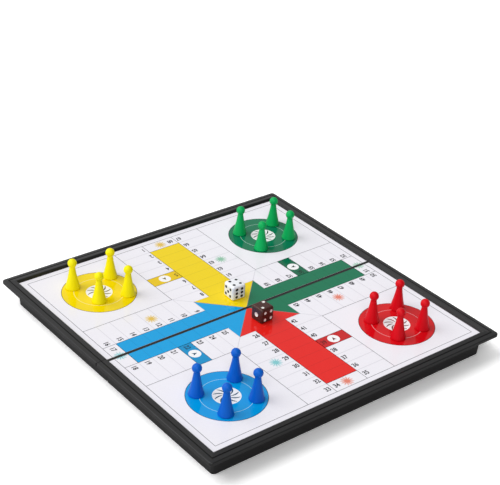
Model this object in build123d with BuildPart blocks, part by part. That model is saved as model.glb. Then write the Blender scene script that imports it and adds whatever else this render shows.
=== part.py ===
from build123d import *
import os

os.makedirs("parts", exist_ok=True)

# A folding board box for a four-player race game. Two half trays from one mould are joined along the
# bottom of the fold by two hinge links. Open, they lie side by side and their tops make the playing
# surface. Folded under, they close into a box for the pawns and dice. X runs along the fold, Y across
# it, and Z up from the table. The middle of the open board is the origin. All sizes are in millimetres.

# Printed and steel sheets
print_side = 232.6          # printed surface of the open board, edge to edge
print_thickness = 0.3
steel_thickness = 0.3
sheet_clearance = 0.2       # around each sheet in its recess

# Fold
seam_gap = 0.3              # between the two halves when open
seam_edge = 0.95            # plastic edge of each half beside the fold, level with the print
seam_wall = 2.0             # wall of each half along the fold

# Rim, from the print outwards
rim_slope = 1.2             # how far the inner face leans out over its height
inner_band = 3.5
inner_crest = 0.8           # the inner band is level for this far, then slopes down outwards
groove_width = 0.8
outer_band = 3.4
rim_corner_radius = 2.4
rim_edge_radius = 0.7
inner_band_radius = 0.4     # along both edges of the crest
rim_end_radius = 1.2        # rounding of the rim's ends at the fold
slope_corner_radius = 0.3   # where the outer band's slope starts, inside the groove

# Heights
wall_height = 15.5          # table to the underside of the rim
rim_thickness = 3.4         # underside of the rim to the top of its inner band
rim_rise = 1.9              # top of the inner band above the print
outer_band_drop = 0.3       # from the crest of the inner band to the foot of its slope
outer_band_slope = 0.35     # how far the outer band slopes down from the groove to its edge
groove_depth = 0.6          # below the foot of the inner band's slope
deck_thickness = 2.0        # panel under the sheets

# Outer walls, inset under the rim and leaning in towards the table
foot_reach = 0.5            # how far the foot of the wall stands outside the print
shoulder_reach = 1.5        # the same where the wall meets the rim
foot_wall = 2.2             # thickness of the wall at its foot
wall_corner_radius = 2.6

# Hinge links, bars with two axles. Each axle turns in the lugs of one half
hinge_margin = 32.8         # middle of each link from the outer face of the side wall's foot
link_length = 14.0
link_wall = 0.65            # around an axle
link_clearance = 0.3        # around the bar, in its notch
axle_diameter = 1.4
axle_reach = 6.0            # beyond each end of the bar
axle_clearance = 0.08
table_clearance = 0.15      # under the bar
lug_length = 7.4
lug_height = 5.0

# Closing magnets, in posts in the free corners
post_side = 8.0
post_recess = 0.2           # the posts end this far above the foot of the walls
closing_magnet_diameter = 5.0
closing_magnet_thickness = 2.0
magnet_clearance = 0.05

# Pawns
pawn_height = 23.6
pawn_foot_diameter = 10.8
pawn_foot_radius = 0.7
pawn_middle_diameter = 6.7  # half-way up the cone
pawn_neck_diameter = 4.0
pawn_ball_diameter = 6.6
pawn_magnet_diameter = 7.6
pawn_magnet_thickness = 2.0
home_margin = 41.3          # middle of each home circle from the edges of the print

# Where each pawn stands, from the middle of its home circle: along the fold, across it
yellow_places = [(-12.6, 15.4), (17.9, 13.4), (15.4, -13.8), (-6.7, -10.3)]
green_places = [(-13.3, 12.7), (17.7, 10.5), (14.5, -13.4), (-14.2, -15.0)]
red_places = [(-12.0, 13.1), (14.6, 15.0), (11.2, -13.7), (-11.1, -12.8)]
blue_places = [(-15.4, 12.2), (15.5, 11.9), (13.6, -13.7), (-12.3, -15.1)]

# Dice
die_side = 11.5
die_edge_radius = 1.7
pip_diameter = 2.3
single_pip_diameter = 3.5   # a face with one pip has a larger one
pip_depth = 0.45
pip_spread = 2.7            # from the middle of a face to its outer pips
six_pip_columns = 2.2       # the same for the two columns of a six
six_pip_rows = 3.0          # between the rows of a six
white_die_place = (2.3, 17.2)
white_die_turn = -3.0       # degrees about the upright
brown_die_place = (0.2, -17.2)
brown_die_turn = 3.0

# Plan sizes that follow, each from the middle of the board
print_half = print_side / 2
recess_half = print_half + sheet_clearance
rim_inner_half = recess_half + rim_slope
groove_inner_half = rim_inner_half + inner_band
groove_middle_half = groove_inner_half + groove_width / 2
groove_outer_half = groove_inner_half + groove_width
board_half = groove_outer_half + outer_band
foot_half = print_half + foot_reach
shoulder_half = print_half + shoulder_reach
cavity_half = foot_half - foot_wall
post_place = cavity_half - post_side / 2
seam_half = seam_gap / 2
hinge_place = foot_half - hinge_margin
home_place = print_half - home_margin
recess_start = seam_half + seam_edge
sheet_start = recess_start + sheet_clearance
cavity_start = seam_half + seam_wall

# Heights that follow, each from the table
rim_top = wall_height + rim_thickness
outer_band_top = rim_top - outer_band_drop
outer_edge_top = outer_band_top - outer_band_slope
groove_floor = outer_band_top - groove_depth
print_top = rim_top - rim_rise
steel_top = print_top - print_thickness
recess_floor = steel_top - steel_thickness
deck_underside = recess_floor - deck_thickness

# Each half's fold edge is rounded about its own axle, so the halves roll round each other as they fold
link_radius = axle_diameter / 2 + link_wall
axle_height = link_radius + table_clearance
axle_place = seam_half + axle_height
notch_length = link_length + 2 * link_clearance
notch_depth = axle_place + link_radius + link_clearance
notch_height = axle_height + link_radius + link_clearance


def half_tray():
    """One moulded half box, in the far half's place."""
    with BuildPart() as tray:
        # Rim plate, sloping down outwards and rounded along its outer edges
        with BuildSketch(Plane.XY.offset(wall_height)):
            RectangleRounded(2 * board_half, 2 * board_half, rim_corner_radius)
        extrude(amount=outer_edge_top - wall_height)
        with BuildSketch(Plane.XY.offset(outer_edge_top)):
            RectangleRounded(2 * board_half, 2 * board_half, rim_corner_radius)
        with BuildSketch(Plane.XY.offset(outer_band_top)):
            RectangleRounded(2 * groove_middle_half, 2 * groove_middle_half, slope_corner_radius)
        loft(ruled=True)
        for height in (wall_height, outer_edge_top):
            fillet(tray.edges().filter_by_position(Axis.Z, height - 0.01, height + 0.01), rim_edge_radius)
        # Raised inner band, with a level crest and a slope down to the groove
        with BuildSketch(Plane.XY.offset(outer_band_top)):
            Rectangle(2 * groove_inner_half, 2 * groove_inner_half)
        with BuildSketch(Plane.XY.offset(rim_top)):
            Rectangle(2 * (rim_inner_half + inner_crest), 2 * (rim_inner_half + inner_crest))
        loft(ruled=True)
        # Groove between the two bands
        with BuildSketch(Plane.XY.offset(groove_floor)):
            Rectangle(2 * groove_outer_half, 2 * groove_outer_half)
            Rectangle(2 * groove_inner_half, 2 * groove_inner_half, mode=Mode.SUBTRACT)
        extrude(amount=groove_depth, mode=Mode.SUBTRACT)
        # Outer walls
        with BuildSketch(Plane.XY):
            RectangleRounded(2 * foot_half, 2 * foot_half, wall_corner_radius)
        with BuildSketch(Plane.XY.offset(wall_height)):
            RectangleRounded(2 * shoulder_half, 2 * shoulder_half, wall_corner_radius)
        loft(ruled=True)
        # Well inside the rim, with leaning sides
        with BuildSketch(Plane.XY.offset(print_top)):
            Rectangle(2 * recess_half, 2 * recess_half)
        with BuildSketch(Plane.XY.offset(rim_top)):
            Rectangle(2 * rim_inner_half, 2 * rim_inner_half)
        loft(ruled=True, mode=Mode.SUBTRACT)
        fillet(tray.edges().group_by(Axis.Z)[-1], inner_band_radius)
        # Rounded ends of the rim beside the fold
        with BuildSketch(Plane.XY.offset(wall_height)):
            with GridLocations(2 * board_half - rim_end_radius, 0, 2, 1):
                Rectangle(rim_end_radius, 2 * (seam_half + rim_end_radius))
            with GridLocations(2 * (board_half - rim_end_radius), 2 * (seam_half + rim_end_radius), 2, 2):
                Circle(rim_end_radius, mode=Mode.SUBTRACT)
        extrude(amount=rim_thickness, mode=Mode.SUBTRACT)
        # Only one side of the fold is kept
        split(bisect_by=Plane.XZ.offset(-seam_half), keep=Keep.BOTTOM)
        # Recess for the steel and printed sheets, with a narrow edge left beside the fold
        with BuildSketch(Plane.XY.offset(recess_floor)):
            with Locations((0, (recess_start + recess_half) / 2)):
                Rectangle(2 * recess_half, recess_half - recess_start)
        extrude(amount=print_top - recess_floor, mode=Mode.SUBTRACT)
        # Room for the pawns and dice when the box is shut
        with BuildSketch(Plane.XY):
            with Locations((0, (cavity_start + cavity_half) / 2)):
                Rectangle(2 * cavity_half, cavity_half - cavity_start)
        extrude(amount=deck_underside, mode=Mode.SUBTRACT)
        # Posts for the closing magnets, with their pockets
        with BuildSketch(Plane.XY.offset(post_recess)):
            with GridLocations(2 * post_place, 0, 2, 1):
                with Locations((0, post_place)):
                    Rectangle(post_side, post_side)
        extrude(amount=deck_underside - post_recess)
        with BuildSketch(Plane.XY.offset(post_recess)):
            with GridLocations(2 * post_place, 0, 2, 1):
                with Locations((0, post_place)):
                    Circle(closing_magnet_diameter / 2 + magnet_clearance)
        extrude(amount=closing_magnet_thickness + magnet_clearance, mode=Mode.SUBTRACT)
        # Lugs on the fold wall, either side of each link, and the rounded fold edge
        with BuildSketch(Plane.XY):
            with GridLocations(2 * hinge_place, 0, 2, 1):
                with Locations((0, (seam_half + axle_place + axle_height) / 2)):
                    Rectangle(notch_length + 2 * lug_length, axle_place + axle_height - seam_half)
        extrude(amount=lug_height)
        fillet(tray.edges().filter_by(Axis.X).group_by(Axis.Z)[0].sort_by(Axis.Y)[0], axle_height)
        # Notches for the links and holes for their axles
        for place in (-hinge_place, hinge_place):
            with BuildSketch(Plane.YZ.offset(place - notch_length / 2)):
                with Locations((notch_depth / 2, notch_height / 2)):
                    Rectangle(notch_depth, notch_height)
            extrude(amount=notch_length, mode=Mode.SUBTRACT)
            with BuildSketch(Plane.YZ.offset(place - link_length / 2 - axle_reach - link_clearance)):
                with Locations((axle_place, axle_height)):
                    Circle(axle_diameter / 2 + axle_clearance)
            extrude(amount=link_length + 2 * (axle_reach + link_clearance), mode=Mode.SUBTRACT)
    return tray.part


def half_sheet(bottom, thickness):
    """A flat sheet that fills the recess of the far half."""
    with BuildPart() as sheet:
        with BuildSketch(Plane.XY.offset(bottom)):
            with Locations((0, (sheet_start + print_half) / 2)):
                Rectangle(2 * print_half, print_half - sheet_start)
        extrude(amount=thickness)
    return sheet.part


def closing_magnets():
    """The two magnet discs of the far half."""
    with BuildPart() as discs:
        with BuildSketch(Plane.XY.offset(post_recess)):
            with GridLocations(2 * post_place, 0, 2, 1):
                with Locations((0, post_place)):
                    Circle(closing_magnet_diameter / 2)
        extrude(amount=closing_magnet_thickness)
    return discs.part


# The far half as made, and the near half as the same pieces turned round
half_pieces = {
    "far_tray": (half_tray(), 0),
    "near_tray": (half_tray(), 180),
    "far_steel_sheet": (half_sheet(recess_floor, steel_thickness), 0),
    "near_steel_sheet": (half_sheet(recess_floor, steel_thickness), 180),
    "far_printed_sheet": (half_sheet(steel_top, print_thickness), 0),
    "near_printed_sheet": (half_sheet(steel_top, print_thickness), 180),
    "far_closing_magnets": (closing_magnets(), 0),
    "near_closing_magnets": (closing_magnets(), 180),
}
for name, (form, turn) in half_pieces.items():
    with BuildPart() as piece:
        add(form, rotation=(0, 0, turn))
    piece.part.label = name
    export_step(piece.part, f"parts/{name}.step")

# Hinge links
for name, middle in (("left_hinge_link", -hinge_place), ("right_hinge_link", hinge_place)):
    with BuildPart() as link:
        with BuildSketch(Plane.YZ.offset(middle - link_length / 2)):
            with Locations((0, axle_height)):
                SlotCenterToCenter(2 * axle_place, 2 * link_radius)
        extrude(amount=link_length)
        with BuildSketch(Plane.YZ.offset(middle - link_length / 2 - axle_reach)):
            with Locations((-axle_place, axle_height), (axle_place, axle_height)):
                Circle(axle_diameter / 2)
        extrude(amount=link_length + 2 * axle_reach)
    link.part.label = name
    export_step(link.part, f"parts/{name}.step")

# A pawn, standing at the origin: a cone that flares to its foot, with a ball on a thin neck and a
# pocket for a magnet underneath
foot_radius = pawn_foot_diameter / 2
neck_radius = pawn_neck_diameter / 2
ball_radius = pawn_ball_diameter / 2
ball_middle = pawn_height - ball_radius
neck_height = ball_middle - (ball_radius ** 2 - neck_radius ** 2) ** 0.5
with BuildPart() as pawn_form:
    with BuildSketch(Plane.XZ):
        with BuildLine():
            Polyline((0, neck_height), (0, 0), (foot_radius - pawn_foot_radius, 0))
            RadiusArc((foot_radius - pawn_foot_radius, 0), (foot_radius, pawn_foot_radius), -pawn_foot_radius)
            ThreePointArc((foot_radius, pawn_foot_radius),
                          (pawn_middle_diameter / 2, (pawn_foot_radius + neck_height) / 2),
                          (neck_radius, neck_height))
            Line((neck_radius, neck_height), (0, neck_height))
        make_face()
    revolve(axis=Axis.Z)
    with Locations((0, 0, ball_middle)):
        Sphere(ball_radius)
    with BuildSketch(Plane.XY):
        Circle(pawn_magnet_diameter / 2 + magnet_clearance)
    extrude(amount=pawn_magnet_thickness + magnet_clearance, mode=Mode.SUBTRACT)

# The four colours in their home circles, and the magnet in the foot of each pawn
homes = {
    "yellow": (-home_place, home_place, yellow_places),
    "green": (home_place, home_place, green_places),
    "red": (home_place, -home_place, red_places),
    "blue": (-home_place, -home_place, blue_places),
}
for colour, (home_x, home_y, places) in homes.items():
    for number, (along, across) in enumerate(places, start=1):
        with BuildPart() as pawn:
            with Locations((home_x + along, home_y + across, print_top)):
                add(pawn_form.part)
        pawn.part.label = f"{colour}_pawn_{number}"
        export_step(pawn.part, f"parts/{pawn.part.label}.step")
        with BuildPart() as magnet:
            with BuildSketch(Plane.XY.offset(print_top)):
                with Locations((home_x + along, home_y + across)):
                    Circle(pawn_magnet_diameter / 2)
            extrude(amount=pawn_magnet_thickness)
        magnet.part.label = f"{colour}_pawn_magnet_{number}"
        export_step(magnet.part, f"parts/{magnet.part.label}.step")


def pip_places(number):
    """Where the pips of a face lie: two columns for a six, or else middle, one diagonal, the other."""
    if number == 6:
        return [(column, row) for column in (-six_pip_columns, six_pip_columns)
                for row in (-six_pip_rows, 0, six_pip_rows)]
    places = [(0, 0)] if number % 2 else []
    if number >= 2:
        places += [(pip_spread, pip_spread), (-pip_spread, -pip_spread)]
    if number >= 4:
        places += [(pip_spread, -pip_spread), (-pip_spread, pip_spread)]
    return places


def die(top, front, left):
    """A rounded cube round the origin, given by three faces. Opposite faces add up to seven."""
    faces = {
        Plane.XY: top, Plane.YX: 7 - top,
        Plane.XZ: front, Plane.ZX: 7 - front,
        Plane.ZY: left, Plane.YZ: 7 - left,
    }
    with BuildPart() as cube:
        Box(die_side, die_side, die_side)
        fillet(cube.edges(), die_edge_radius)
        for face, number in faces.items():
            pip_radius = (single_pip_diameter if number == 1 else pip_diameter) / 2
            hollow_radius = (pip_radius ** 2 + pip_depth ** 2) / (2 * pip_depth)
            with Locations(face.offset(die_side / 2 - pip_depth + hollow_radius)):
                with Locations(*pip_places(number)):
                    Sphere(hollow_radius, mode=Mode.SUBTRACT)
    return cube.part


# Two dice, lying on the print
dice = {
    "white_die": (die(4, 6, 5), white_die_place, white_die_turn),
    "brown_die": (die(2, 4, 1), brown_die_place, brown_die_turn),
}
for name, (form, (along, across), turn) in dice.items():
    with BuildPart() as placed_die:
        with Locations(Location((along, across, print_top + die_side / 2), (0, 0, turn))):
            add(form)
    placed_die.part.label = name
    export_step(placed_die.part, f"parts/{name}.step")
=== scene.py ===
import math

import bmesh
import bpy
from mathutils import Matrix, Vector


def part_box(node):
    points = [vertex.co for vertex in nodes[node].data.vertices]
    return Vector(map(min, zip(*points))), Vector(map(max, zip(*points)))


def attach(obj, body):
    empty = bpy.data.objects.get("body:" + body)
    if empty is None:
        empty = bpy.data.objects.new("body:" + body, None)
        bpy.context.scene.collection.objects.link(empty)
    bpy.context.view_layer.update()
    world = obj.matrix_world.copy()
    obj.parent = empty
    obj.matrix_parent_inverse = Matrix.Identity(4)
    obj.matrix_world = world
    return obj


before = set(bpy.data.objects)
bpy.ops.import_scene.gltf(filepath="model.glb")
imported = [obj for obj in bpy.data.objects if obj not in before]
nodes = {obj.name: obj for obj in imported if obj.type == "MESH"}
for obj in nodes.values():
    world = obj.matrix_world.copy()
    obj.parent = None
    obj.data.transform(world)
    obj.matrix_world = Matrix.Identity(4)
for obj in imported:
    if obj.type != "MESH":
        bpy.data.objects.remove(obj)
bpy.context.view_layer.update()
MM = 0.001

# ---------------------------------------------------------------------------------------------------
# The two half trays: moulded black plastic with a satin face, very slightly grained by the mould.
# Handling has dulled them unevenly, and fine hairline scuffs run the way the fold does.
# ---------------------------------------------------------------------------------------------------


class Value:
    """One output in a material. A sum of two values adds the node that works it out."""

    def __init__(self, finish, socket):
        self.finish = finish
        self.socket = socket

    def __add__(self, other):
        return self.finish.node("Math", {"operation": "ADD"}, {0: self, 1: other})

    __radd__ = __add__


class Finish:
    """The material of one kind of surface: its shader, and whatever varies over the surface."""

    usual_noise = (0.3, 0.7)        # nearly all of the noise lies between these

    def __init__(self, name, fixed):
        self.material = bpy.data.materials.new(name)
        self.material.use_nodes = True
        self.tree = self.material.node_tree
        self.shader = self.tree.nodes["Principled BSDF"]
        self.fill(self.shader, fixed)

    def fill(self, node, sockets):
        for socket, value in sockets.items():
            if isinstance(value, Value):
                self.tree.links.new(value.socket, node.inputs[socket])
            else:
                node.inputs[socket].default_value = value

    def node(self, kind, settings=None, sockets=None, output=0):
        node = self.tree.nodes.new("ShaderNode" + kind)
        for setting, value in (settings or {}).items():
            setattr(node, setting, value)
        self.fill(node, sockets or {})
        return Value(self, node.outputs[output])

    def place(self):
        """Where a point of the surface lies on its piece, in metres."""
        return self.node("TexCoord", output="Object")

    def noise(self, grains_per_metre, detail=3.0, stretch=None):
        """Soft noise between 0 and 1, stretched along an axis where that is given."""
        place = self.place()
        if stretch:
            place = self.node("VectorMath", {"operation": "MULTIPLY"}, {0: place, 1: stretch})
        return self.node("TexNoise", {}, {"Vector": place, "Scale": grains_per_metre, "Detail": detail})

    def spread(self, noise, low=0.0, high=1.0):
        """Noise brought to values between low and high."""
        lowest, highest = self.usual_noise
        return self.node("MapRange", {}, {"Value": noise, "From Min": lowest, "From Max": highest,
                                          "To Min": low, "To Max": high})

    def between(self, share, first, second):
        """A colour that turns from the first into the second as share goes from 0 to 1."""
        # The node has sockets of one name for each kind of data, and these are those for colours
        return self.node("Mix", {"data_type": "RGBA"}, {0: share, 6: first, 7: second}, output=2)

    def bump(self, height, depth):
        """A dent pattern, as deep as given in metres."""
        return self.node("Bump", {}, {"Height": height, "Distance": depth, "Strength": 1.0})

    def finish(self, **varied):
        """Connects what varies to the shader, by the sockets' names with _ for a space."""
        self.fill(self.shader, {socket.replace("_", " "): value for socket, value in varied.items()})
        return self.material


def dress(names, material):
    """Gives CAD pieces their finish."""
    for name in names:
        for slot in nodes[name].material_slots:
            slot.material = material


def linear(part):
    """One part of a screen colour, 0 to 255, as the light that it stands for, 0 to 1."""
    share = part / 255
    return share / 12.92 if share <= 0.04045 else ((share + 0.055) / 1.055) ** 2.4


def rgb(red, green, blue):
    """A colour as written for a screen, turned into the shader's own scale."""
    return [linear(part) for part in (red, green, blue)] + [1.0]


tray_black = rgb(18, 18, 19)
tray_worn = rgb(26, 26, 27)
tray_roughness = (0.32, 0.42)       # where it is handled least and most
tray_grain = 1 / (0.25 * MM)        # grains of the mould's texture in a metre
tray_grain_depth = 0.004 * MM
handling_grain = 25                 # handled patches in a metre
scuff_grain = 60
scuff_stretch = (1.0, 14.0, 14.0)
scuff_roughness = (0.0, 0.06)       # what the scuffs add

tray_plastic = Finish("black_plastic", {"Specular IOR Level": 0.5})
handling = tray_plastic.noise(handling_grain)
grain = tray_plastic.noise(tray_grain, detail=2.0)
scuffs = tray_plastic.noise(scuff_grain, detail=6.0, stretch=scuff_stretch)
tray_plastic.finish(
    Base_Color=tray_plastic.between(tray_plastic.spread(handling), tray_black, tray_worn),
    Roughness=(tray_plastic.spread(handling, *tray_roughness)
               + tray_plastic.spread(scuffs, *scuff_roughness)),
    Normal=tray_plastic.bump(grain, tray_grain_depth),
)
dress(["far_tray", "near_tray"], tray_plastic.material)

# ---------------------------------------------------------------------------------------------------
# The hinge links: tough black plastic bars with two axles, each snapped into the lugs of one half.
# They are smoother than the trays, and polished where they turn.
# ---------------------------------------------------------------------------------------------------

link_black = rgb(20, 20, 20)
link_worn = rgb(32, 32, 32)
link_roughness = (0.22, 0.38)
rub_grain = 400
rub_depth = 0.01 * MM

link_plastic = Finish("hinge_plastic", {"Specular IOR Level": 0.5})
rubbed = link_plastic.noise(rub_grain)
link_plastic.finish(
    Base_Color=link_plastic.between(rubbed, link_black, link_worn),
    Roughness=link_plastic.spread(rubbed, *link_roughness),
    Normal=link_plastic.bump(rubbed, rub_depth),
)
dress(["left_hinge_link", "right_hinge_link"], link_plastic.material)

# ---------------------------------------------------------------------------------------------------
# The steel sheets: thin rolled steel under the print, which the pawns' magnets hold to. Only their
# edges can be seen, in the narrow gap round the print. Rolling lines run along the fold.
# ---------------------------------------------------------------------------------------------------

steel_dull = rgb(178, 178, 180)
steel_bright = rgb(208, 208, 210)
steel_roughness = (0.28, 0.42)
rolling_grain = 120
rolling_stretch = (0.3, 30.0, 30.0)
rolling_depth = 0.004 * MM

sheet_steel = Finish("steel_sheet", {"Metallic": 1.0})
rolling = sheet_steel.noise(rolling_grain, detail=4.0, stretch=rolling_stretch)
sheet_steel.finish(
    Base_Color=sheet_steel.between(rolling, steel_dull, steel_bright),
    Roughness=sheet_steel.spread(rolling, *steel_roughness),
    Normal=sheet_steel.bump(rolling, rolling_depth),
)
dress(["far_steel_sheet", "near_steel_sheet"], sheet_steel.material)

# ---------------------------------------------------------------------------------------------------
# The magnets: pressed discs with bright nickel plating, one in the foot of each pawn and two in the
# free corners of each half. The plating is a little cloudy.
# ---------------------------------------------------------------------------------------------------

nickel_dull = rgb(190, 188, 184)
nickel_bright = rgb(214, 213, 210)
plating_roughness = (0.16, 0.3)
cloud_grain = 500
cloud_depth = 0.003 * MM

plating = Finish("magnet_plating", {"Metallic": 1.0})
cloud = plating.noise(cloud_grain)
plating.finish(
    Base_Color=plating.between(cloud, nickel_dull, nickel_bright),
    Roughness=plating.spread(cloud, *plating_roughness),
    Normal=plating.bump(cloud, cloud_depth),
)
dress([name for name in nodes if "magnet" in name], plating.material)

# ---------------------------------------------------------------------------------------------------
# The printed sheets: white card under a glossy film, which covers the inks as well. The film isn't
# quite flat, so what it reflects is a little wavy. The card is a cool white.
# ---------------------------------------------------------------------------------------------------

card_white = (243, 241, 248)
ink_mottle = 0.03                   # how much darker an ink is in its darkest blotches
blotch_grain = 900
film_roughness = (0.07, 0.11)
film_grain = 30                     # duller patches of the film in a metre
film_waves = 55                     # the same of its waves
film_wave_depth = 0.02 * MM


def shaded(colour, share):
    """A colour darkened to a share of its light."""
    return [part * share for part in colour[:3]] + [1.0]


def laminate(name, colour):
    """One ink, or the bare card, under the glossy film. The ink is slightly mottled."""
    film = Finish(name, {"IOR": 1.4, "Specular IOR Level": 0.4})
    blotches = film.noise(blotch_grain, detail=4.0)
    waves = film.noise(film_waves, detail=1.0)
    ink = rgb(*colour)
    return film.finish(
        Base_Color=film.between(film.spread(blotches), shaded(ink, 1 - ink_mottle), ink),
        Roughness=film.spread(film.noise(film_grain), *film_roughness),
        Normal=film.bump(waves, film_wave_depth),
    )


dress(["far_printed_sheet", "near_printed_sheet"], laminate("card_white", card_white))

# ---------------------------------------------------------------------------------------------------
# The inks on the sheets. The board has four arms that point to its sides, each with three columns of
# eight places, four home squares in the corners, and a goal in the middle. It looks the same after a
# quarter turn apart from its colours and numbers, so one arm is drawn and turned into all four.
# ---------------------------------------------------------------------------------------------------

low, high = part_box("far_printed_sheet")
print_top = high[2]
sheet_start = low[1]                # where the far sheet begins beside the fold
ink_step = 0.01 * MM                # from one level of ink to the next; no two inks overlap on one level

border = 111.9 * MM                 # the line round the print, from the middle of the board
arm_half = 37.9 * MM                # half the width of an arm
tip = 26.9 * MM                     # the goal's corners lie this far out, both ways
column_half = 13.3 * MM             # half the width of an arm's coloured column
rows = 8
row = (border - tip) / rows
exit_row = 4                        # rows between the board's side and the place where pawns start
arms = ("yellow", "blue", "red", "green")       # each a quarter turn on from the one before

ink_colours = {
    "yellow": (244, 214, 0),
    "blue": (0, 162, 226),
    "red": (232, 34, 28),
    "green": (8, 118, 82),
}
home_colours = {
    "yellow": (244, 216, 0),
    "blue": (0, 154, 224),
    "red": (212, 10, 22),
    "green": (8, 118, 82),
}
star_colours = {
    "yellow": (230, 192, 88),
    "blue": (134, 204, 210),
    "red": (232, 134, 114),
    "green": (146, 198, 170),
}
start_colours = {
    "yellow": (236, 200, 6),
    "blue": (6, 146, 204),
    "red": (202, 30, 34),
    "green": (6, 104, 72),
}
dark_shade = 0.45                   # of each colour's own brightness, for its fine marks


def turned(outline, quarter_turns):
    """An outline of the yellow arm turned to another arm."""
    turn = Matrix.Rotation(quarter_turns * math.pi / 2, 2)
    return [turn @ Vector(point) for point in outline]


def on_half(outline, side):
    """The part of a convex outline that lies on one half's sheet. The side is +1 for far, -1 for near."""
    kept = []
    for here, following in zip(outline, outline[1:] + outline[:1]):
        depth, next_depth = (side * point[1] - sheet_start for point in (here, following))
        if depth >= 0:
            kept.append(Vector(here))
        if (depth < 0) != (next_depth < 0):
            kept.append(Vector(here).lerp(Vector(following), depth / (depth - next_depth)))
    return kept


def rectangle(left, right, bottom, top):
    return [(left, bottom), (right, bottom), (right, top), (left, top)]


def stroke(start, end, width):
    """A straight line of ink."""
    start, end = Vector(start), Vector(end)
    along = (end - start).normalized()
    across = Vector((-along.y, along.x)) * width / 2
    return [start - across, end - across, end + across, start + across]


def circle(middle, radius, corners=72):
    """A filled circle."""
    turns = [2 * math.pi * corner / corners for corner in range(corners)]
    return [(middle[0] + radius * math.cos(turn), middle[1] + radius * math.sin(turn)) for turn in turns]


def ring(middle, radius, width, corners=96):
    """A thin ring, as the straight pieces that it is made of."""
    inner = circle(middle, radius - width / 2, corners)
    outer = circle(middle, radius + width / 2, corners)
    return [[inner[i - 1], outer[i - 1], outer[i], inner[i]] for i in range(corners)]


halves = {"far": 1, "near": -1}


def made(form, name, material):
    """Turns a drawn form into a piece of the scene."""
    mesh = bpy.data.meshes.new(name)
    form.to_mesh(mesh)
    mesh.materials.append(material)
    piece = bpy.data.objects.new(mesh.name, mesh)
    bpy.context.collection.objects.link(piece)
    return piece


def printed(form, half, name, material):
    """Lays what was drawn for one half on its sheet."""
    piece = made(form, f"{half}_{name}", material)
    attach(piece, f"{half}_half")


def ink(name, outlines, level, material):
    """Prints convex outlines on both halves. Where they meet the fold they are cut."""
    height = print_top + level * ink_step
    for half, side in halves.items():
        form = bmesh.new()
        for outline in outlines:
            corners = on_half([Vector(point) for point in outline], side)
            if len(corners) > 2:
                form.faces.new([form.verts.new((point.x, point.y, height)) for point in corners])
        if form.faces:
            bmesh.ops.recalc_face_normals(form, faces=form.faces)
            for face in form.faces:
                if face.normal.z < 0:
                    face.normal_flip()
            printed(form, half, name, material)
        form.free()


def inks_of(name, colours, shade=1.0):
    """The inks of the four colours, each part of a colour taken down to a share."""
    return {colour: laminate(f"{colour}_{name}", tuple(part * shade for part in parts))
            for colour, parts in colours.items()}


inks = inks_of("ink", ink_colours)
home_inks = inks_of("home_ink", home_colours)
start_inks = inks_of("start_ink", start_colours)
dark_inks = inks_of("dark_ink", ink_colours, dark_shade)

# The coloured column of each arm with its arrowhead, which ends in the middle of the board, and the
# coloured place where pawns start, all with a fine dark edge
edge_width = 0.4 * MM
start_place = rectangle(-arm_half, -column_half, border - (exit_row + 1) * row, border - exit_row * row)
column = rectangle(-column_half, column_half, tip, border - row)
arrowhead = [(-tip, tip), (0, 0), (tip, tip)]
for quarter, colour in enumerate(arms):
    fields = [turned(shape, quarter) for shape in (column, arrowhead)]
    ink(f"{colour}_column", fields, level=1, material=inks[colour])
    ink(f"{colour}_start_place", [turned(start_place, quarter)], level=1, material=start_inks[colour])
    corners = column[1:] + column[:1]           # the end by the arrowhead has no such edge
    edges = [stroke(start, end, edge_width) for shape in (corners, start_place + start_place[:1])
             for start, end in zip(shape, shape[1:])]
    ink(f"{colour}_edges", [turned(edge, quarter) for edge in edges], level=5, material=dark_inks[colour])

# The home circles, with a darker edge, a pale ring and a white middle with curved rays
home_place = 75.0 * MM
home_radius = 27.0 * MM
home_edge = 0.45 * MM
home_ring_radius = 18.0 * MM
home_ring_width = 0.38 * MM
home_middle_radius = 9.5 * MM
ring_colour_share = 0.35            # of the home's colour in its ring; the rest is white
ring_white = 250
rays = 10
ray_start = 0.3                     # of the white middle's radius
ray_length = 0.62                   # the same
ray_width = 1.0 * MM
ray_end_width = 0.4                 # of the width that it has half-way
ray_steps = 6
ray_lean = 0.5                      # how far a ray turns on its way out, in radians
white_ink = laminate("white_ink", (250, 250, 252))
for quarter, colour in enumerate(arms):
    home = turned([(-home_place, home_place)], quarter)[0]
    ring_colour = [ring_colour_share * part + (1 - ring_colour_share) * ring_white
                   for part in home_colours[colour]]
    ink(f"{colour}_home_edge", [circle(home, home_radius)], level=1, material=dark_inks[colour])
    ink(f"{colour}_home", [circle(home, home_radius - home_edge)], level=2, material=home_inks[colour])
    ink(f"{colour}_home_middle", [circle(home, home_middle_radius)], level=3, material=white_ink)
    ink(f"{colour}_home_ring", ring(home, home_ring_radius, home_ring_width), level=3,
        material=laminate(f"{colour}_ring_ink", ring_colour))
    curved = []
    for number in range(rays):
        points = []
        for step in range(ray_steps + 1):
            share = step / ray_steps
            radius = home_middle_radius * (ray_start + ray_length * share)
            turn = 2 * math.pi * number / rays + ray_lean * share
            points.append(home + radius * Vector((math.cos(turn), math.sin(turn))))
        for step in range(ray_steps):
            swell = math.sin(math.pi * (step + 0.5) / ray_steps)
            width = ray_width * (ray_end_width + (1 - ray_end_width) * swell)
            curved.append(stroke(points[step], points[step + 1], width))
    ink(f"{colour}_home_rays", curved, level=4, material=dark_inks[colour])

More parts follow.
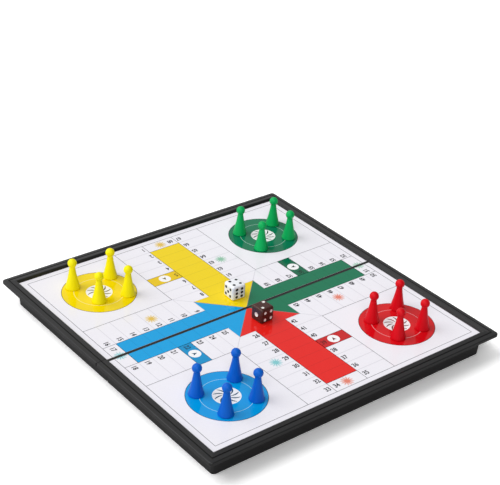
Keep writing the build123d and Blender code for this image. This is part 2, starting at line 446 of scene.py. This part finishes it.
# The white circles in the coloured start places, each with a small arrow
start_middle = ((-arm_half - column_half) / 2, border - (exit_row + 0.5) * row)
start_radius = 4.4 * MM
arrow_size = 1.9 * MM               # from its middle to its point
arrow_width = 0.8                   # half of it, to that size
arrow_notch = 0.5                   # how far behind its middle the notch ends, to that size
arrow = [(start_middle[0], start_middle[1] - arrow_size),
         (start_middle[0] + arrow_size * arrow_width, start_middle[1] + arrow_size),
         (start_middle[0], start_middle[1] + arrow_size * arrow_notch),
         (start_middle[0] - arrow_size * arrow_width, start_middle[1] + arrow_size)]
for quarter, colour in enumerate(arms):
    start_circle = turned(circle(start_middle, start_radius), quarter)
    ink(f"{colour}_start_circle", [start_circle], level=2, material=white_ink)
    halves_of_arrow = [turned(arrow[:3], quarter), turned([arrow[0], arrow[2], arrow[3]], quarter)]
    ink(f"{colour}_start_arrow", halves_of_arrow, level=3, material=dark_inks[colour])

# The stars on the safe places: one in the middle of the end place of each arm, and one on the far side
# of the arm before, level with the start places. A star with slender points lies on a paler, fuller one
star_points = 12
star_sizes = (5.2 * MM, 3.6 * MM)           # how far its points and the hollows between them reach
slender_sizes = (4.9 * MM, 1.7 * MM)
pale_share = 0.25                           # of the star's colour in the paler one; the rest is card
safe_place = 25.5 * MM


def star(middle, point_reach, hollow_reach):
    """A star, as one kite for each of its points."""
    kites = []
    for number in range(star_points):
        steps = ((number - 0.5, hollow_reach), (number, point_reach), (number + 0.5, hollow_reach))
        turns = [(2 * math.pi * step / star_points, reach) for step, reach in steps]
        rim = [middle + reach * Vector((math.cos(turn), math.sin(turn))) for turn, reach in turns]
        kites.append([middle] + rim)
    return kites


for quarter, colour in enumerate(arms):
    places = [Vector(turned([(0, border - row / 2)], quarter)[0]),
              Vector(turned([(safe_place, start_middle[1])], quarter + 1)[0])]
    pale = [pale_share * part + (1 - pale_share) * white
            for part, white in zip(star_colours[colour], card_white)]
    ink(f"{colour}_pale_stars", [kite for place in places for kite in star(place, *star_sizes)], level=1,
        material=laminate(f"pale_{colour}_ink", pale))
    ink(f"{colour}_slender_stars", [kite for place in places for kite in star(place, *slender_sizes)],
        level=2, material=laminate(f"{colour}_star_ink", star_colours[colour]))

# The lines between the places: fine grey ones round the squares and arms, and much paler ones between
# the rows, which hardly show in the coloured columns
dark_width = 0.4 * MM
pale_width = 0.42 * MM
dark_line_colour = (128, 128, 134)
pale_line_colour = (219, 217, 225)
line_shade = 0.93                   # of the column's colour, for the lines across it
line_inks = inks_of("line_ink", ink_colours, line_shade)
square = rectangle(-border, border, -border, border)
dark_lines = [stroke(start, end, dark_width) for start, end in zip(square, square[1:] + square[:1])]
pale_lines = []
for quarter, colour in enumerate(arms):
    column_lines = []
    for number in range(2, rows + 1):
        height = border - number * row
        line = stroke((-column_half, height), (column_half, height), pale_width)
        column_lines.append(turned(line, quarter))
    ink(f"{colour}_column_lines", column_lines, level=2, material=line_inks[colour])
    for side in (-1, 1):
        for along, start in ((side * arm_half, arm_half), (side * column_half, border - row)):
            dark_lines.append(turned(stroke((along, start), (along, border), dark_width), quarter))
        for number in range(1, rows + 1):
            height = border - number * row
            far_end = side * min(arm_half, height) if number < rows else side * tip
            line = stroke((side * column_half, height), (far_end, height), pale_width)
            pale_lines.append(turned(line, quarter))
    dark_lines.append(turned(stroke((tip, tip), (0, 0), dark_width), quarter))
    pale_lines.append(turned(stroke((arm_half, arm_half), (tip, tip), pale_width), quarter))
ink("dark_lines", dark_lines, level=4, material=laminate("dark_line_ink", dark_line_colour))
ink("pale_lines", pale_lines, level=3, material=laminate("pale_line_ink", pale_line_colour))

# The numbers of the places, read from each arm's own side of the board. Those on the coloured start
# places are printed in a darker tone of the same ink
number_height = 5.5 * MM            # of the type, a third more than of a digit
number_weight = 0.14 * MM           # how much bolder than the type, on each side of a stroke
number_narrowing = 0.8              # of the type's own width
number_smoothness = 3               # steps in each curve of the type
number_margin = 1.3 * MM            # from the coloured column
number_level = 5                    # of ink
end_number_place = 9.0 * MM         # from the middle of the arm
places_per_arm = 17
places_in_all = places_per_arm * len(arms)
number_ink = laminate("number_ink", (42, 42, 50))


def number_form(text, align):
    """The flat outline of a number, lying at the origin."""
    type_set = bpy.data.curves.new("number", "FONT")
    type_set.body = text
    type_set.size = number_height
    type_set.align_x = align
    type_set.align_y = "CENTER"
    type_set.offset = number_weight
    type_set.resolution_u = number_smoothness
    carrier = bpy.data.objects.new("number", type_set)
    bpy.context.collection.objects.link(carrier)
    mesh = bpy.data.meshes.new_from_object(carrier)
    bpy.data.objects.remove(carrier)
    bpy.data.curves.remove(type_set)
    return mesh


def print_numbers(name, marks, quarter_turns, material):
    """Prints numbers, each given by its value, its place and which end of it stands there."""
    pieces = {half: bmesh.new() for half in halves}
    for number, along, height, align in marks:
        middle = turned([(along, height)], quarter_turns)[0]
        mesh = number_form(str((number + quarter_turns * places_per_arm - 1) % places_in_all + 1), align)
        mesh.transform(Matrix.Translation((middle.x, middle.y, print_top + number_level * ink_step))
                       @ Matrix.Rotation(math.pi + quarter_turns * math.pi / 2, 4, "Z")
                       @ Matrix.Diagonal((number_narrowing, 1, 1, 1)))
        pieces["far" if middle.y > 0 else "near"].from_mesh(mesh)
        bpy.data.meshes.remove(mesh)
    for half, form in pieces.items():
        if form.faces:
            printed(form, half, name, material)
        form.free()


for quarter, colour in enumerate(arms):
    marks = []
    for number in range(rows):
        height = border - (number + 0.5) * row
        marks.append((number + 1, -column_half - number_margin, height, "LEFT"))
        marks.append((places_in_all - 1 - number, column_half + number_margin, height, "RIGHT"))
    marks.append((places_in_all, end_number_place, border - row / 2, "CENTER"))
    start_mark = marks.pop(2 * exit_row)            # each row has two numbers
    print_numbers(f"{colour}_arm_numbers", marks, quarter, number_ink)
    print_numbers(f"{colour}_start_number", [start_mark], quarter, dark_inks[colour])

# ---------------------------------------------------------------------------------------------------
# The pawns: four of each colour, moulded in coloured plastic with a soft gloss. Fine flow marks and a
# slightly uneven gloss come from the mould.
# ---------------------------------------------------------------------------------------------------

pawns_per_colour = 4
pawn_roughness = (0.34, 0.46)
pawn_grain = 2500                   # grains of the mould's texture in a metre
pawn_grain_depth = 0.004 * MM
flow_grain = 180
flow_stretch = (1.0, 1.0, 0.25)     # the flow marks run up the pawn
flow_shade = 0.9                    # of the plastic's light, in the darkest of them
pawn_colours = {
    "yellow": (255, 242, 0),
    "green": (0, 176, 92),
    "red": (216, 0, 22),
    "blue": (0, 98, 206),
}


def pawn_plastic(name, colour):
    """Coloured plastic with a soft gloss."""
    plastic = Finish(name, {"Specular IOR Level": 0.18})
    flow = plastic.noise(flow_grain, detail=4.0, stretch=flow_stretch)
    plain = rgb(*colour)
    return plastic.finish(
        Base_Color=plastic.between(plastic.spread(flow), shaded(plain, flow_shade), plain),
        Roughness=plastic.spread(flow, *pawn_roughness),
        Normal=plastic.bump(plastic.noise(pawn_grain, detail=2.0), pawn_grain_depth),
    )


for colour, shade in pawn_colours.items():
    pawns = [f"{colour}_pawn_{number}" for number in range(1, pawns_per_colour + 1)]
    dress(pawns, pawn_plastic(f"{colour}_plastic", shade))

# ---------------------------------------------------------------------------------------------------
# The dice: polished moulded cubes, one white with black pips and one dark brown with white pips. The
# pips are moulded hollows filled thinly with paint.
# ---------------------------------------------------------------------------------------------------

die_side = 11.5 * MM
pip_radius = 1.15 * MM
single_pip_radius = 1.75 * MM
pip_depth = 0.45 * MM
pip_spread = 2.7 * MM
six_pip_columns = 2.2 * MM
six_pip_rows = 3.0 * MM
paint_thickness = 0.03 * MM
paint_reach = 0.985                 # of the hollow's radius
pip_rings = 6
pip_corners = 40
scratch_grain = 700
scratch_depth = 0.004 * MM
scratch_shade = 0.92                # of the plastic's light, where it is scratched most
scratch_roughness = 0.12            # what the scratches add at most
dice = {                            # top, front and left face, then the place on the print and the turn
    "white_die": (4, 6, 5, 2.3 * MM, 17.2 * MM, -3.0),
    "brown_die": (2, 4, 1, 0.2 * MM, -17.2 * MM, 3.0),
}


def die_plastic(name, colour, roughness):
    """Polished plastic, scratched a little by use."""
    plastic = Finish(name, {"Specular IOR Level": 0.35})
    scratches = plastic.noise(scratch_grain, detail=5.0)
    plain = rgb(*colour)
    return plastic.finish(
        Base_Color=plastic.between(plastic.spread(scratches), shaded(plain, scratch_shade), plain),
        Roughness=plastic.spread(scratches, roughness, roughness + scratch_roughness),
        Normal=plastic.bump(scratches, scratch_depth),
    )


def pip_places(number):
    """Where the pips of a face lie: two columns for a six, or else middle, one diagonal, the other."""
    if number == 6:
        return [(column, row) for column in (-six_pip_columns, six_pip_columns)
                for row in (-six_pip_rows, 0, six_pip_rows)]
    places = [(0, 0)] if number % 2 else []
    if number >= 2:
        places += [(pip_spread, pip_spread), (-pip_spread, -pip_spread)]
    if number >= 4:
        places += [(pip_spread, -pip_spread), (-pip_spread, pip_spread)]
    return places


def paint_pips(die, top, front, left, along, across, turn, material):
    """Paint in the hollows of a die, given by three faces. Opposite faces add up to seven."""
    x, y, z = Vector((1, 0, 0)), Vector((0, 1, 0)), Vector((0, 0, 1))
    faces = [(x, z, top), (y, -z, 7 - top), (x, -y, front), (z, y, 7 - front),
             (z, -x, left), (y, x, 7 - left)]
    place = (Matrix.Translation((along, across, print_top + die_side / 2))
             @ Matrix.Rotation(math.radians(turn), 4, "Z"))
    form = bmesh.new()
    for right, out, number in faces:
        up = out.cross(right)
        radius = single_pip_radius if number == 1 else pip_radius
        hollow_radius = (radius ** 2 + pip_depth ** 2) / (2 * pip_depth)
        paint_radius = hollow_radius - paint_thickness
        height = die_side / 2 - pip_depth + hollow_radius
        for pip in pip_places(number):
            rings = []
            for step in range(1, pip_rings + 1):
                reach = radius * paint_reach * step / pip_rings
                depth = height - math.sqrt(paint_radius ** 2 - reach ** 2)
                corners = []
                for corner in range(pip_corners):
                    angle = 2 * math.pi * corner / pip_corners
                    point = (right * (pip[0] + reach * math.cos(angle))
                             + up * (pip[1] + reach * math.sin(angle)) + out * depth)
                    corners.append(form.verts.new(place @ point))
                rings.append(corners)
            lowest = right * pip[0] + up * pip[1] + out * (height - paint_radius)
            centre = form.verts.new(place @ lowest)
            for corner in range(pip_corners):
                form.faces.new((centre, rings[0][corner - 1], rings[0][corner]))
                for inner, outer in zip(rings, rings[1:]):
                    form.faces.new((inner[corner - 1], outer[corner - 1], outer[corner], inner[corner]))
    for face in form.faces:
        face.smooth = True
    piece = made(form, f"{die}_pips", material)
    form.free()
    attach(piece, die)
    return piece


dress(["white_die"], die_plastic("white_die_plastic", (245, 248, 252), 0.2))
dress(["brown_die"], die_plastic("brown_die_plastic", (70, 36, 30), 0.24))
black_paint = die_plastic("black_pip_paint", (18, 18, 26), 0.3)
white_paint = die_plastic("white_pip_paint", (240, 238, 234), 0.3)
paint_pips("white_die", *dice["white_die"], black_paint)
paint_pips("brown_die", *dice["brown_die"], white_paint)

# ---------------------------------------------------------------------------------------------------
# The studio: a white table under a soft white dome, one large soft lamp above the board on the left and
# one above the camera, and a camera with a long lens that looks down on the board's near corner.
# ---------------------------------------------------------------------------------------------------

floor_reach = 40.0
floor_white = rgb(249, 249, 249)
floor_seen = [1.4, 1.4, 1.4, 1.0]   # as overexposed as in the photo, so its shadows are short and light
floor_shaded_in_reflections = rgb(185, 185, 185) # its white painted darker where the glossy pieces reflect it: painted shade in those reflections
floor_squares = 8
floor_form = bmesh.new()
bmesh.ops.create_grid(floor_form, x_segments=floor_squares, y_segments=floor_squares, size=floor_reach)
table = Finish("table_white", {"Roughness": 0.7, "Specular IOR Level": 0.0})
seen = table.node("LightPath", output="Is Camera Ray")
# Glossy rays see the floor painted darker than it is, a painted shade in the reflections of the floor
mirrored = table.node("LightPath", output="Is Glossy Ray")
unmirrored = table.between(seen, floor_white, floor_seen)
table.finish(Base_Color=table.between(mirrored, unmirrored, floor_shaded_in_reflections))
floor = made(floor_form, "floor", table.material)
floor_form.free()

world_strength = 0.5                # over the board; stronger behind it on the left, weaker in front
world_lean = (-0.57, 0.76, 0.0)
lamps = {                           # strength, width in degrees, and the way to each
    "top_lamp": (1.25, 40, (-0.45, 0.35, 0.82)),
    "front_lamp": (0.95, 40, (-0.50, -0.60, 0.62)),
}
world = bpy.data.worlds.new("studio")
bpy.context.scene.world = world
world.use_nodes = True
dome = world.node_tree
facing = dome.nodes.new("ShaderNodeVectorMath")
facing.operation = "DOT_PRODUCT"
facing.inputs[1].default_value = world_lean
dome.links.new(dome.nodes.new("ShaderNodeTexCoord").outputs["Generated"], facing.inputs[0])
strength = dome.nodes.new("ShaderNodeMath")
strength.operation = "MULTIPLY_ADD"
strength.inputs[1].default_value = world_strength
strength.inputs[2].default_value = world_strength
dome.links.new(facing.outputs["Value"], strength.inputs[0])
dome.nodes["Background"].inputs["Color"].default_value = (1.0, 1.0, 1.0, 1.0)
dome.links.new(strength.outputs["Value"], dome.nodes["Background"].inputs["Strength"])
for name, (lamp_strength, lamp_width, lamp_direction) in lamps.items():
    light = bpy.data.lights.new(name, "SUN")
    light.energy = lamp_strength
    light.angle = math.radians(lamp_width)
    lamp = bpy.data.objects.new(name, light)
    lamp.rotation_euler = (-Vector(lamp_direction)).to_track_quat("-Z", "Y").to_euler()
    bpy.context.collection.objects.link(lamp)

# The camera's place and turn about the middle of the print
azimuth = math.radians(-39.894)
elevation = math.radians(29.644)
roll = math.radians(3.379)
half_print = high[0]
distance = 8.129 * half_print
step_right = -0.0032 * half_print
step_up = 0.3973 * half_print
lens_in_pixels = 1336.9
image_width = 500
sensor_width = 36.0

back = Vector((math.sin(azimuth) * math.cos(elevation), -math.cos(azimuth) * math.cos(elevation),
               math.sin(elevation)))
level_right = Vector((math.cos(azimuth), math.sin(azimuth), 0))
level_up = back.cross(level_right)
right = math.cos(roll) * level_right + math.sin(roll) * level_up
up = -math.sin(roll) * level_right + math.cos(roll) * level_up
eye = Vector((0, 0, print_top)) + back * distance + level_right * step_right + level_up * step_up
camera_data = bpy.data.cameras.new("camera")
camera_data.sensor_fit = "HORIZONTAL"
camera_data.sensor_width = sensor_width
camera_data.lens = lens_in_pixels * sensor_width / image_width
camera = bpy.data.objects.new("camera", camera_data)
camera.matrix_world = Matrix((right, up, back)).transposed().to_4x4()
camera.location = eye
bpy.context.collection.objects.link(camera)
bpy.context.scene.camera = camera
bpy.context.scene.view_settings.view_transform = "Standard"
